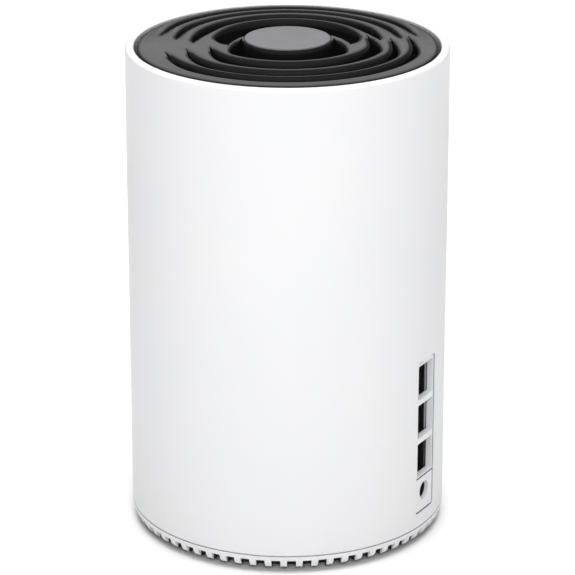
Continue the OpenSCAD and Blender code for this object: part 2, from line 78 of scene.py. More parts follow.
SHELL_LOW, SHELL_HIGH = box_mm("outer_shell")
VENT_LOW = box_mm("top_grille")[0]
PLATE_LOW, PLATE_HIGH = box_mm("centre_plate")
BASE_LOW, BASE_HIGH = box_mm("base_cover")
FOOT_HIGH = box_mm("rubber_foot")[1]
JACK_BOXES = [box_mm(f"network_jack_{i}") for i in (1, 2, 3)]
INLET_LOW, INLET_HIGH = box_mm("power_inlet")
BUTTON_LOW, BUTTON_HIGH = box_mm("reset_button")

# Case
BODY_R = SHELL_HIGH.y
WALL = 2.9
INNER_R = BODY_R - WALL
RIM_R = 1.1
RIM_INNER_CHAMFER = 0.3
FOOT_CHAMFER = 0.5
SEAM_GAP = 0.15
LEDGE_W = 2
LEDGE_H = 1.6
LEDGE_Z = VENT_LOW.z - 1.7
SEGMENTS = 288

# Domed top vent
DOME_RISE = 2.6
DOME_TOP_Z = PLATE_HIGH.z
DOME_EDGE_Z = DOME_TOP_Z - DOME_RISE
VENT_R = INNER_R - 0.25
GROOVE_FLOOR_Z = DOME_EDGE_Z - 4
SWIRL_TURN = 120.5

# Base, its air slots, the groove of the foot ring and the hole of the reset button
BASE_EDGE_W = 3.1
BASE_FLOOR_Z = 3.6
SLOT_COUNT = 64
SLOT_W = 3
SLOT_TOP_Z = 4.5
# Inside this radius, below the slot tops, the base is near-black: painted shade
BASE_SHADE_R = BODY_R - 1.9
FOOT_INNER_R = 40
FOOT_SEAT_Z = 1.9
FOOT_EDGE_R = 0.5
BUTTON_HOLE_R = 2.1

# Port insert: its recess, the openings in it and the gap round it
RECESS_W = 12.4
RECESS_LOW_Z = 11
RECESS_HIGH_Z = 66
RECESS_H = RECESS_HIGH_Z - RECESS_LOW_Z
RECESS_MID_Z = (RECESS_LOW_Z + RECESS_HIGH_Z) / 2
RECESS_CORNER_R = 1.2
RECESS_Y = BODY_R - 0.6
PORT_BACK_Y = RECESS_Y - 2.2
OPENING_W = 10.4
OPENING_H = 12
JACK_POCKET_HALF_X = 6.7
INLET_POCKET_DROP = 4.2
INLET_HOLE_R = 3.2
INLET_Z = (INLET_LOW.z + INLET_HIGH.z) / 2
INLET_FACE_Y = INLET_HIGH.y
INLET_COLLAR_R = 3.85
GAP_W = 0.5
GAP_DEPTH = 1.5
GAP_LINE_Z = INLET_Z + 5.6

# Window of the status light
LED_Z = 16
LED_HOLE_R = 1.1

# ---------------------------------------------------------------- camera, lights and floor

CAMERA_AZIMUTH = 119.5
CAMERA_PITCH = 20.3
CAMERA_OUT = 959 * MM
CAMERA_UP = 436 * MM
LENS_TO_SENSOR = 5.256
LIGHT_TARGET_Z = 0.08
FLOOR_HALF = 1.2
FLOOR_GLOW_START_R = 450
FLOOR_GLOW_FULL_R = 800


def spot(azimuth, elevation, distance, centre_z):
    """A point seen from the axis at that azimuth and elevation. Azimuth 0 is on the -Y side."""
    a, e = math.radians(azimuth), math.radians(elevation)
    direction = Vector((math.sin(a) * math.cos(e), -math.cos(a) * math.cos(e), math.sin(e)))
    return direction * distance + Vector((0, 0, centre_z))


def aim(obj, target):
    obj.rotation_mode = "QUATERNION"
    obj.rotation_quaternion = (Vector(target) - obj.location).to_track_quat("-Z", "Y")


def link(obj):
    bpy.context.scene.collection.objects.link(obj)
    return obj


def make_camera():
    data = bpy.data.cameras.new("view_camera")
    data.sensor_width = 36
    data.lens = data.sensor_width * LENS_TO_SENSOR
    data.clip_start = 0.01
    data.clip_end = 50
    camera = link(bpy.data.objects.new("view_camera", data))
    camera.location = spot(CAMERA_AZIMUTH, 0, CAMERA_OUT, CAMERA_UP)
    aim(camera, (0, 0, CAMERA_UP - CAMERA_OUT * math.tan(math.radians(CAMERA_PITCH))))
    bpy.context.scene.camera = camera


def area_light(name, azimuth, elevation, distance, size, watts):
    """A soft lamp aimed at the object, which shows in no reflection."""
    data = bpy.data.lights.new(name, "AREA")
    data.shape = "RECTANGLE"
    data.size, data.size_y = size
    data.energy = watts
    lamp = link(bpy.data.objects.new(name, data))
    lamp.location = spot(azimuth, elevation, distance, LIGHT_TARGET_Z)
    aim(lamp, (0, 0, LIGHT_TARGET_Z))
    lamp.visible_glossy = False
    lamp.visible_camera = False


# Even light of the studio, and its soft panels: direction, cosines of the edge and of the core, brightness
WORLD_BASE = 0.08
WORLD_LOBES = [
    (-spot(CAMERA_AZIMUTH, -33, 1, 0), 0.89, 0.965, 0.8),
    (spot(CAMERA_AZIMUTH, 20, 1, 0), -0.2, 0.9, 0.12),
    (Vector((0, 0, 1)), 0.3, 0.9, 0.1),
]


def make_world():
    """A dim studio: a large soft panel high on the far side, fainter ones near the camera and overhead,
    and a white backdrop that only the camera sees."""
    world = bpy.data.worlds.new("studio")
    world.use_nodes = True
    tree = world.node_tree
    tree.nodes.clear()
    coords = tree.nodes.new("ShaderNodeTexCoord")
    output = tree.nodes.new("ShaderNodeOutputWorld")
    background = tree.nodes.new("ShaderNodeBackground")
    background.inputs["Color"].default_value = (1, 1, 1, 1)
    total = None
    for direction, edge, core, gain in WORLD_LOBES:
        dot = tree.nodes.new("ShaderNodeVectorMath")
        dot.operation = "DOT_PRODUCT"
        dot.inputs[1].default_value = direction
        ramp = tree.nodes.new("ShaderNodeMapRange")
        ramp.interpolation_type = "SMOOTHSTEP"
        ramp.inputs["From Min"].default_value = edge
        ramp.inputs["From Max"].default_value = core
        ramp.inputs["To Min"].default_value = 0
        ramp.inputs["To Max"].default_value = gain
        tree.links.new(coords.outputs["Generated"], dot.inputs[0])
        tree.links.new(dot.outputs["Value"], ramp.inputs["Value"])
        add = tree.nodes.new("ShaderNodeMath")
        add.operation = "ADD"
        add.inputs[0].default_value = WORLD_BASE
        if total is not None:
            tree.links.new(total, add.inputs[0])
        tree.links.new(ramp.outputs["Result"], add.inputs[1])
        total = add.outputs[0]
    seen = tree.nodes.new("ShaderNodeLightPath")
    backdrop = tree.nodes.new("ShaderNodeMix")
    backdrop.inputs["B"].default_value = 1
    tree.links.new(seen.outputs["Is Camera Ray"], backdrop.inputs["Factor"])
    tree.links.new(total, backdrop.inputs["A"])
    tree.links.new(backdrop.outputs["Result"], background.inputs["Strength"])
    tree.links.new(background.outputs["Background"], output.inputs["Surface"])
    bpy.context.scene.world = world


def make_studio():
    make_world()
    area_light("overhead_light", 0, 89.9, 1.3, (1.2, 1.2), 23)
    area_light("key_light", CAMERA_AZIMUTH + 1, 30, 1.4, (0.7, 0.9), 9.9)
    bpy.context.scene.view_settings.view_transform = "Standard"
    bpy.context.scene.view_settings.look = "None"
    mesh = bpy.data.meshes.new("floor")
    corners = [(x * FLOOR_HALF, y * FLOOR_HALF, 0) for x, y in ((-1, -1), (1, -1), (1, 1), (-1, 1))]
    mesh.from_pydata(corners, [], [(0, 1, 2, 3)])
    floor = link(bpy.data.objects.new("floor", mesh))
    floor.data.materials.append(floor_material())


# ---------------------------------------------------------------- materials


class Nodes:
    """A material's node tree, with short ways to add the nodes that the finishes share."""

    def __init__(self, name):
        self.material = bpy.data.materials.new(name)
        self.material.use_nodes = True
        self.tree = self.material.node_tree
        self.tree.nodes.clear()
        self.shader = self.add("ShaderNodeBsdfPrincipled")
        self.output = self.add("ShaderNodeOutputMaterial")
        self.join(self.shader.outputs["BSDF"], self.output.inputs["Surface"])
        self.coords = self.add("ShaderNodeTexCoord").outputs["Object"]

    def add(self, kind, **settings):
        node = self.tree.nodes.new(kind)
        for key, value in settings.items():
            setattr(node, key, value)
        return node

    def join(self, source, target):
        self.tree.links.new(source, target)

    def stretched(self, scale):
        """Object coordinates in millimetres, times scale on each axis."""
        node = self.add("ShaderNodeMapping")
        self.join(self.coords, node.inputs["Vector"])
        node.inputs["Scale"].default_value = [s / MM for s in scale]
        return node.outputs["Vector"]

    def noise(self, size_mm, detail=3, rough=0.5, stretch=(1, 1, 1)):
        """Noise whose features are about size_mm across."""
        node = self.add("ShaderNodeTexNoise")
        self.join(self.stretched(stretch), node.inputs["Vector"])
        node.inputs["Scale"].default_value = 1 / size_mm
        node.inputs["Detail"].default_value = detail
        node.inputs["Roughness"].default_value = rough
        return node.outputs["Fac"]

    def spread(self, value, low, high, start=0.3, end=0.7):
        """Maps value from start..end to low..high."""
        node = self.add("ShaderNodeMapRange")
        self.join(value, node.inputs["Value"])
        node.inputs["From Min"].default_value = start
        node.inputs["From Max"].default_value = end
        node.inputs["To Min"].default_value = low
        node.inputs["To Max"].default_value = high
        return node.outputs["Result"]

    def along(self, axis):
        """The object coordinate on one axis, in millimetres."""
        split = self.add("ShaderNodeSeparateXYZ")
        self.join(self.stretched((1, 1, 1)), split.inputs["Vector"])
        return split.outputs[axis]

    def calc(self, operation, first, second=0.0):
        """One arithmetic step on an output and a number or a second output."""
        node = self.add("ShaderNodeMath", operation=operation)
        self.join(first, node.inputs[0])
        if isinstance(second, bpy.types.NodeSocket):
            self.join(second, node.inputs[1])
        else:
            node.inputs[1].default_value = second
        return node.outputs["Value"]

    def distance_from(self, axis, centre):
        return self.calc("ABSOLUTE", self.calc("SUBTRACT", self.along(axis), centre))

    def radius(self):
        """The distance from the vertical axis, in millimetres."""
        squares = [self.calc("POWER", self.distance_from(axis, 0), 2) for axis in "XY"]
        return self.calc("SQRT", self.calc("ADD", *squares))

    def painted_shade_in_base(self):
        """Mask of painted shade in the base: 1 below the base's slot tops and behind its outer edge, 0
        elsewhere.
        """
        behind = self.spread(self.radius(), 1, 0, BASE_SHADE_R, BASE_SHADE_R + 0.2)
        low = self.spread(self.along("Z"), 1, 0, SLOT_TOP_Z + 0.1, SLOT_TOP_Z + 0.3)
        return self.calc("MULTIPLY", behind, low)

    def painted_shade_in_gap(self):
        """Mask of painted shade in the gap: 1 on the walls of the gap round the port insert and of its cross
        line, 0 elsewhere.
        """
        past_side = self.calc("SUBTRACT", self.distance_from("X", 0), RECESS_W / 2)
        past_end = self.calc("SUBTRACT", self.distance_from("Z", RECESS_MID_Z), RECESS_H / 2)
        out = self.calc("MAXIMUM", past_side, past_end)
        ring = self.spread(out, 0, 1, -GAP_W - 0.03, -GAP_W)
        line = self.spread(self.distance_from("Z", GAP_LINE_Z), 1, 0, GAP_W / 2, GAP_W / 2 + 0.03)
        within = self.spread(out, 1, 0, 0.02, 0.05)
        deep = self.spread(self.along("Y"), 1, 0, RECESS_Y - 0.1, RECESS_Y - 0.05)
        front = self.spread(self.along("Y"), 0, 1, PORT_BACK_Y + 0.1, PORT_BACK_Y + 0.3)
        marked = self.calc("MULTIPLY", self.calc("MAXIMUM", ring, line), within)
        return self.calc("MULTIPLY", marked, self.calc("MULTIPLY", deep, front))

    def mix(self, factor, first, second):
        """A colour between two colours or colour outputs."""
        node = self.add("ShaderNodeMix", data_type="RGBA")
        self.join(factor, node.inputs["Factor"])
        for socket, value in ((node.inputs[6], first), (node.inputs[7], second)):
            if isinstance(value, tuple):
                socket.default_value = (*value, 1)
            else:
                self.join(value, socket)
        return node.outputs[2]

    def bump(self, height, depth_mm):
        """Bump from a height of 0 to 1, depth_mm deep, over any bump that is there already."""
        node = self.add("ShaderNodeBump")
        node.inputs["Strength"].default_value = 1
        node.inputs["Distance"].default_value = depth_mm * MM
        self.join(height, node.inputs["Height"])
        normal = self.shader.inputs["Normal"]
        if normal.is_linked:
            self.join(normal.links[0].from_socket, node.inputs["Normal"])
        self.join(node.outputs["Normal"], normal)

    def set(self, **values):
        """Sets the shader's inputs from outputs, colours or numbers."""
        names = {"color": "Base Color", "rough": "Roughness", "metal": "Metallic", "ior": "IOR",
                 "clear": "Transmission Weight", "glow": "Emission Strength"}
        for key, value in values.items():
            socket = self.shader.inputs[names[key]]
            if isinstance(value, bpy.types.NodeSocket):
                self.join(value, socket)
            elif isinstance(value, tuple):
                socket.default_value = (*value, 1)
            else:
                socket.default_value = value


def shade(color, factor):
    return tuple(min(1.0, c * factor) for c in color)


def moulded(name, color, rough, grain_mm, grain_depth, flecks=0.04):
    """Moulded plastic or rubber: fine spark-eroded grain that also varies the gloss, and a slow drift of
    tone.
    """
    n = Nodes(name)
    drift = n.noise(grain_mm * 60, detail=2)
    grain = n.noise(grain_mm, detail=2, rough=0.6)
    n.set(color=n.mix(n.spread(drift, 0, 1), shade(color, 1 - flecks), shade(color, 1 + flecks / 2)))
    n.set(rough=n.spread(grain, rough * 0.88, rough * 1.12))
    n.bump(grain, grain_depth)
    return n.material


def white_case():
    """Satin white case: near-smooth, with a faint cool tone that drifts slowly, and a fine texture that also
    varies the gloss.

    It carries painted shade, near-black: behind the base's white edge, in the air slots and on the
    underside, and on the walls of the gap round the port insert.
    """
    n = Nodes("case_white")
    cool = (0.693, 0.696, 0.71)
    warm = (0.706, 0.707, 0.715)
    drift = n.noise(42, detail=2)
    grain = n.noise(0.35, detail=2, rough=0.6)
    white = n.mix(n.spread(drift, 0, 1), cool, warm)
    # Painted shade, near-black: in the base's slots, behind its edge and on its underside, and on the walls
    # of the gap round the port insert
    painted_shade = n.calc("MAXIMUM", n.painted_shade_in_base(), n.painted_shade_in_gap())
    n.set(color=n.mix(painted_shade, white, (0.03, 0.03, 0.032)))
    n.set(rough=n.spread(grain, 0.36, 0.44), ior=1.46)
    n.bump(grain, 0.004)
    return n.material


def gloss_black():
    """Piano-black top: glossy, with a breath of dust and faint swirl marks in the gloss."""
    n = Nodes("vent_black")
    haze = n.noise(7, detail=4, rough=0.6)
    dust = n.noise(0.22, detail=1)
    speck = n.spread(dust, 0, 1, 0.66, 0.78)
    n.set(color=n.mix(speck, (0.006, 0.006, 0.0065), (0.03, 0.03, 0.031)))
    n.set(rough=n.spread(haze, 0.13, 0.2), ior=1.5)
    n.bump(n.noise(0.9, detail=3), 0.012)
    return n.material


def satin_plate():
    """Satin grey plate with a fine metallic fleck."""
    n = Nodes("plate_satin")
    fleck = n.noise(0.16, detail=1)
    drift = n.noise(9, detail=2)
    tone = n.mix(n.spread(drift, 0, 1), (0.205, 0.206, 0.215), (0.23, 0.231, 0.24))
    n.set(color=n.mix(n.spread(fleck, 0, 1, 0.52, 0.74), tone, (0.36, 0.36, 0.37)))
    n.set(metal=0.55, rough=n.spread(fleck, 0.36, 0.48))
    n.bump(fleck, 0.008)
    return n.material


def metal(name, color, rough, stretch=(1, 1, 1), grain_mm=0.12, wear=0.1):
    """Metal with a directional grain: stretch is small along the grain."""
    n = Nodes(name)
    grain = n.noise(grain_mm, detail=2, stretch=stretch)
    cloud = n.noise(5, detail=3)
    n.set(color=n.mix(n.spread(cloud, 0, 1), shade(color, 1 - wear), shade(color, 1 + wear / 2)))
    n.set(metal=1.0, rough=n.spread(grain, rough * 0.75, rough * 1.3))
    n.bump(grain, 0.006)
    return n.material


def circuit_board():
    """Green solder mask over copper traces, with tinned vias."""
    n = Nodes("board_green")
    bricks = n.add("ShaderNodeTexBrick", offset=0.5, squash=0.6)
    n.join(n.stretched((1, 1, 1)), bricks.inputs["Vector"])
    bricks.inputs["Scale"].default_value = 0.42
    bricks.inputs["Mortar Size"].default_value = 0.028
    vias = n.add("ShaderNodeTexVoronoi", feature="F1")
    n.join(n.stretched((1, 1, 1)), vias.inputs["Vector"])
    vias.inputs["Scale"].default_value = 0.33
    via = n.spread(vias.outputs["Distance"], 1, 0, 0.1, 0.14)
    mask = n.mix(bricks.outputs["Fac"], (0.012, 0.085, 0.04), (0.03, 0.16, 0.07))
    n.set(color=n.mix(via, mask, (0.55, 0.55, 0.5)))
    n.set(rough=n.spread(n.noise(0.8), 0.28, 0.4))
    n.bump(bricks.outputs["Fac"], 0.03)
    return n.material


def chip_case():
    """Moulded chip package: matte black epoxy with a fine speckle."""
    n = Nodes("chip_black")
    speckle = n.noise(0.09, detail=1)
    n.set(color=n.mix(n.spread(speckle, 0, 1, 0.4, 0.7), (0.013, 0.013, 0.014), (0.04, 0.04, 0.042)))
    n.set(rough=n.spread(speckle, 0.5, 0.72))
    n.bump(speckle, 0.01)
    return n.material


def light_clear():
    """Clear moulded light guide with faint streaks."""
    n = Nodes("light_clear")
    streak = n.noise(2.2, detail=2)
    n.set(color=n.mix(n.spread(streak, 0, 1), (0.86, 0.9, 0.93), (0.95, 0.97, 0.98)))
    n.set(rough=n.spread(streak, 0.12, 0.3), clear=0.6, ior=1.49)
    n.bump(streak, 0.01)
    return n.material


def label_film():
    """Blank printed film: satin, with a faint even weave from its backing."""
    n = Nodes("label_film")
    fibre = n.noise(0.3, detail=3, stretch=(1, 0.3, 1))
    n.set(color=n.mix(n.spread(fibre, 0, 1), (0.72, 0.72, 0.73), (0.8, 0.8, 0.81)))
    n.set(rough=n.spread(fibre, 0.42, 0.56))
    n.bump(fibre, 0.01)
    return n.material


def floor_material():
    """Pale matte floor that glows far from the object, so that it runs into the white backdrop."""
    n = Nodes("floor_pale")
    n.set(glow=n.spread(n.radius(), 0, 1, FLOOR_GLOW_START_R, FLOOR_GLOW_FULL_R))
    cloud = n.noise(400, detail=2)
    n.set(color=n.mix(n.spread(cloud, 0, 1), (0.93, 0.93, 0.93), (0.95, 0.95, 0.95)))
    n.set(rough=n.spread(cloud, 0.85, 0.95))
    return n.material


ALONG_Z = (1, 1, 0.06)
ALONG_Y = (1, 0.06, 1)
FINISHES = {
    "case_white": white_case,
    "vent_black": gloss_black,
    "plate_satin": satin_plate,
    "screen_black": lambda: moulded("screen_black", (0.014, 0.014, 0.015), 0.6, 0.3, 0.02),
    "frame_grey": lambda: moulded("frame_grey", (0.62, 0.62, 0.6), 0.55, 0.3, 0.02),
    "foot_rubber": lambda: moulded("foot_rubber", (0.035, 0.035, 0.037), 0.78, 0.25, 0.04, 0.12),
    "label_film": label_film,
    "board_green": circuit_board,
    "jack_black": lambda: moulded("jack_black", (0.012, 0.012, 0.013), 0.42, 0.2, 0.012, 0.1),
    "jack_steel": lambda: metal("jack_steel", (0.52, 0.52, 0.53), 0.34, ALONG_Y),
    "contact_gold": lambda: metal("contact_gold", (0.83, 0.62, 0.26), 0.22, ALONG_Y, 0.08),
    "pin_nickel": lambda: metal("pin_nickel", (0.72, 0.72, 0.73), 0.2, ALONG_Y, 0.08),
    "chip_black": chip_case,
    "inductor_grey": lambda: moulded("inductor_grey", (0.07, 0.07, 0.078), 0.62, 0.2, 0.03, 0.15),
    "capacitor_sleeve": lambda: metal("capacitor_sleeve", (0.55, 0.56, 0.6), 0.3, (0.06, 1, 1)),
    "can_tin": lambda: metal("can_tin", (0.6, 0.61, 0.62), 0.36, ALONG_Y, 0.15, 0.14),
    "pad_blue": lambda: moulded("pad_blue", (0.16, 0.3, 0.48), 0.7, 0.3, 0.03, 0.1),
    "sink_aluminium": lambda: metal("sink_aluminium", (0.62, 0.63, 0.65), 0.4, ALONG_Z, 0.15, 0.08),
    "antenna_copper": lambda: metal("antenna_copper", (0.75, 0.42, 0.2), 0.3, ALONG_Z, 0.15, 0.16),
    "lead_black": lambda: moulded("lead_black", (0.018, 0.018, 0.02), 0.45, 0.15, 0.01, 0.1),
    "led_body": lambda: moulded("led_body", (0.8, 0.79, 0.7), 0.3, 0.1, 0.005),
    "light_clear": light_clear,
    "button_white": lambda: moulded("button_white", (0.8, 0.8, 0.81), 0.4, 0.2, 0.01),
    "plunger_red": lambda: moulded("plunger_red", (0.42, 0.04, 0.03), 0.45, 0.2, 0.01),
    "screw_steel": lambda: metal("screw_steel", (0.4, 0.4, 0.41), 0.32, (1, 1, 1), 0.1, 0.12),
}
MATERIALS = {slot: make() for slot, make in FINISHES.items()}

# ---------------------------------------------------------------- mesh helpers, in mm


def add_mesh(name, points, faces):
    """A mesh object from points in millimetres, with its normals outwards."""
    mesh = bpy.data.meshes.new(name)
    mesh.from_pydata([tuple(float(c) * MM for c in p) for p in points], [], faces)
    mesh.validate()
    fix_normals(mesh)
    return link(bpy.data.objects.new(name, mesh))


def fix_normals(mesh):
    bm = bmesh.new()
    bm.from_mesh(mesh)
    bmesh.ops.recalc_face_normals(bm, faces=bm.faces)
    bm.to_mesh(mesh)
    bm.free()


def smooth_below(obj, degrees):
    """Smooth shading, with a sharp edge wherever two faces meet at more than that angle."""
    bm = bmesh.new()
    bm.from_mesh(obj.data)
    limit = math.radians(degrees)
    for face in bm.faces:
        face.smooth = True
    for edge in bm.edges:
        edge.smooth = len(edge.link_faces) == 2 and edge.calc_face_angle(0) < limit
    bm.to_mesh(obj.data)
    bm.free()


def revolve(name, profile, segments=SEGMENTS):
    """A closed solid from a loop of (radius, height) points; a radius of 0 lies on the axis."""
    points, rings = [], []
    for r, z in profile:
        if r <= 0:
            rings.append([len(points)] * segments)
            points.append((0, 0, z))
            continue
        rings.append(list(range(len(points), len(points) + segments)))
        for k in range(segments):
            a = 2 * math.pi * k / segments
            points.append((r * math.cos(a), r * math.sin(a), z))
    faces = []
    for i in range(len(rings)):
        low, high = rings[i], rings[(i + 1) % len(rings)]
        for k in range(segments):
            m = (k + 1) % segments
            corners = [low[k], low[m], high[m], high[k]]
            unique = [c for j, c in enumerate(corners) if c not in corners[:j]]
            if len(unique) > 2:
                faces.append(unique)
    return add_mesh(name, points, faces)


def arc(cx, cz, rx, rz, start, end, steps):
    """Points on an ellipse's arc, from start to end degrees."""
    angles = [math.radians(start + (end - start) * i / steps) for i in range(steps + 1)]
    return [(cx + rx * math.cos(a), cz + rz * math.sin(a)) for a in angles]


def round_rect(w, h, r, steps=5):
    """Outline of a rectangle with round corners, centred, as (x, z) points."""
    points = []
    for sx, sz, start in ((1, 1, 0), (-1, 1, 90), (-1, -1, 180), (1, -1, 270)):
        points += arc(sx * (w / 2 - r), sz * (h / 2 - r), r, r, start, start + 90, steps)
    return points


def circle(r, steps=48):
    angles = [2 * math.pi * i / steps for i in range(steps)]
    return [(r * math.cos(a), r * math.sin(a)) for a in angles]


def prism_y(name, outline, y1, y2, z=0):
    """A prism along Y from y1 to y2 of an (x, z) outline, raised by z."""
    n = len(outline)
    points = [(px, y, pz + z) for y in (y1, y2) for px, pz in outline]
    faces = [list(range(n)), list(range(2 * n - 1, n - 1, -1))]
    faces += [[i, (i + 1) % n, n + (i + 1) % n, n + i] for i in range(n)]
    return add_mesh(name, points, faces)


def block(name, low, high):
    """A box from its lowest to its highest corner."""
    outline = [(low[0], low[2]), (high[0], low[2]), (high[0], high[2]), (low[0], high[2])]
    return prism_y(name, outline, low[1], high[1])


def combine(target, tools, operation):
    """Applies booleans with the tools to target, and removes the tools."""
    for tool in tools:
        step = target.modifiers.new("boolean", "BOOLEAN")
        step.operation = operation
        step.solver = "EXACT"
        step.object = tool
    graph = bpy.context.evaluated_depsgraph_get()
    made = bpy.data.meshes.new_from_object(target.evaluated_get(graph))
    target.modifiers.clear()
    target.data = made
    for tool in tools:
        bpy.data.objects.remove(tool)


def merge(name, objects):
    """One object from several that don't touch, for a single boolean."""
    bm = bmesh.new()
    for obj in objects:
        bm.from_mesh(obj.data)
        bpy.data.objects.remove(obj)
    mesh = bpy.data.meshes.new(name)
    bm.to_mesh(mesh)
    bm.free()
    return link(bpy.data.objects.new(name, mesh))


def turned(obj, degrees):
    """Turns a mesh about the vertical axis."""
    a = math.radians(degrees)
    co = np.empty(len(obj.data.vertices) * 3)
    obj.data.vertices.foreach_get("co", co)
    co = co.reshape(-1, 3)
    spin = np.array([[math.cos(a), math.sin(a), 0], [-math.sin(a), math.cos(a), 0], [0, 0, 1]])
    obj.data.vertices.foreach_set("co", (co @ spin).ravel())
    obj.data.update()
    return obj


def soften(obj, width_mm, degrees=35, segments=2):
    """Rounds the edges where faces meet at more than that angle."""
    bevel = obj.modifiers.new("soften", "BEVEL")
    bevel.width = width_mm * MM
    bevel.segments = segments
    bevel.limit_method = "ANGLE"
    bevel.angle_limit = math.radians(degrees)
    bevel.use_clamp_overlap = True


def place(obj, node):
    """obj stands for a CAD node: it rides on the node's body and takes its slot and finish."""
    slot = SLOT_OF[node]
    obj.data.materials.clear()
    obj.data.materials.append(MATERIALS[slot])
    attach(obj, NODES[node]["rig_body"])
    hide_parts(node)


# ---------------------------------------------------------------- case


def cut_recess(case):
    """The shallow recess of the port insert, with the gap all round it and the line across it."""
    outline = round_rect(RECESS_W, RECESS_H, RECESS_CORNER_R)
    recess = prism_y("recess", outline, RECESS_Y, BODY_R + 1, RECESS_MID_Z)
    combine(case, [recess], "DIFFERENCE")
    low_y, high_y = RECESS_Y - GAP_DEPTH, RECESS_Y + 0.5
    outer = round_rect(RECESS_W - 0.02, RECESS_H - 0.02, RECESS_CORNER_R - 0.01)
    inner = round_rect(RECESS_W - 2 * GAP_W, RECESS_H - 2 * GAP_W, RECESS_CORNER_R - GAP_W)
    gap = prism_y("gap", outer, low_y, high_y, RECESS_MID_Z)
    island = prism_y("island", inner, low_y - 1, high_y + 1, RECESS_MID_Z)
    combine(gap, [island], "DIFFERENCE")
    half_x, half_z = RECESS_W / 2 - 0.1, GAP_W / 2
    line = block("line", (-half_x, low_y, GAP_LINE_Z - half_z), (half_x, high_y, GAP_LINE_Z + half_z))
    combine(gap, [line], "UNION")
    combine(case, [gap], "DIFFERENCE")


def make_case():
    """White case: a rolled rim, a chamfered foot at the joint line, and the recess round the ports."""
    top, bottom = SHELL_HIGH.z, SHELL_LOW.z
    ledge_r, ledge_top_z = INNER_R - LEDGE_W, LEDGE_Z + LEDGE_H
    profile = [(INNER_R, bottom), (BODY_R - FOOT_CHAMFER, bottom), (BODY_R, bottom + FOOT_CHAMFER)]
    profile += arc(BODY_R - RIM_R, top - RIM_R, RIM_R, RIM_R, 0, 90, 8)
    profile += [(INNER_R + RIM_INNER_CHAMFER, top), (INNER_R, top - RIM_INNER_CHAMFER)]
    profile += [(INNER_R, ledge_top_z), (ledge_r, ledge_top_z), (ledge_r, LEDGE_Z), (INNER_R, LEDGE_Z)]
    case = revolve("case", profile)
    low_z, high_z = INLET_Z - INLET_POCKET_DROP, JACK_BOXES[0][1].z + 0.2
    half_x = JACK_POCKET_HALF_X
    relief = block("relief", (-half_x, INNER_R - 3, low_z), (half_x, PORT_BACK_Y, high_z))
    combine(case, [relief], "DIFFERENCE")
    cut_recess(case)
    opening = round_rect(OPENING_W, OPENING_H, 0.4)
    holes = [
        prism_y("hole", opening, PORT_BACK_Y - 1, BODY_R, (low.z + high.z) / 2) for low, high in JACK_BOXES
    ]
    holes.append(prism_y("hole", circle(INLET_HOLE_R), INLET_FACE_Y - 0.5, BODY_R, INLET_Z))
    holes.append(prism_y("hole", circle(LED_HOLE_R, 32), -BODY_R - 1, -INNER_R + 1, LED_Z))
    combine(case, [merge("holes", holes)], "DIFFERENCE")
    collar = circle(INLET_COLLAR_R + 0.1)
    pocket = prism_y("pocket", collar, PORT_BACK_Y - 1, INLET_FACE_Y + 0.1, INLET_Z)
    combine(case, [pocket], "DIFFERENCE")
    smooth_below(case, 30)
    soften(case, 0.08)
    place(case, "outer_shell")


# ---------------------------------------------------------------- top vent

# Grooves: middle radius, half width, first and last angle, radii of the first and last tip, and
# how many degrees a tip takes to reach the full width. The CAD part has the same list.
GROOVES = [
    (44.6, 1.3, 8, 170, 43.5, 43, 30),
    (38, 1.35, 2, 178, 37.5, 36.7, 30),
    (29.8, 2.3, -4, 188, 30.3, 31, 34),
    (19.8, 4.7, -22, 205, 21.7, 20.8, 44),
    (42.8, 1.1, 192, 373, 41.3, 40.6, 34),
    (37.4, 1.3, 192, 368, 34.4, 33.9, 38),
    (30.1, 2.1, 195, 372, 26.8, 26.5, 38),
    (19.6, 4.6, 182, 358, 15.2, 15.2, 44),
]
# How far a ridge's crown and a groove's wall run in from the groove's edge, and the crown's drop
CROWN_RUN = 2.1
CROWN_DROP = 0.9
WALL_RUN = 0.8
# Rounded outer edge of the dome
EDGE_W = 2.8
EDGE_H = 1.7
# Air slots in the groove floors: radii of their rings, half length and half width, pitch and number
AIR_SLOT_RINGS = (19.6, 29.8)
AIR_SLOT_SIDES = (45, 225)
AIR_SLOT_HALF_L = 1.6
AIR_SLOT_HALF_W = 0.6
AIR_SLOT_PITCH = 9
AIR_SLOT_LAST = 10
# Steps of the mesh, round the axis and outwards
VENT_ANGLES = 600
RADIAL_STEP = 0.22
PLATE_SEAT_R = 14.4
PLATE_SEAT_Z = PLATE_LOW.z


def ease(t):
    """Smooth step from 0 to 1."""
    t = np.clip(t, 0, 1)
    return t * t * (3 - 2 * t)


def dome_z(r):
    """Height of the dome at radius r."""
    return DOME_EDGE_Z + DOME_RISE * (1 - (r / VENT_R) ** 2)


def groove_depths(r, degrees):
    """How far the surface lies below the dome, in mm: ridges are crowned and groove walls are steep."""
    full = dome_z(r) - GROOVE_FLOOR_Z
    drop = np.zeros(np.broadcast(r, degrees).shape)
    for mid_r, half_w, first, last, tip_1, tip_2, taper in GROOVES:
        a = first + np.mod(degrees - first, 360)
        openness = ease((a - first) / taper) * ease((last - a) / taper)
        tip = np.where(a - first < last - a, tip_1, tip_2)
        mid = mid_r + (tip - mid_r) * (1 - openness)
        inside = half_w * openness - np.abs(r - mid)
        near_tip = np.clip(openness * 4, 0, 1)
        crown = CROWN_DROP * near_tip * np.clip(1 + inside / CROWN_RUN, 0, 1) ** 2
        wall = 1 - (1 - np.clip(inside / WALL_RUN, 0, 1)) ** 2
        drop = np.maximum(drop, np.where(a <= last, crown + (full - crown) * wall, 0))
    return drop


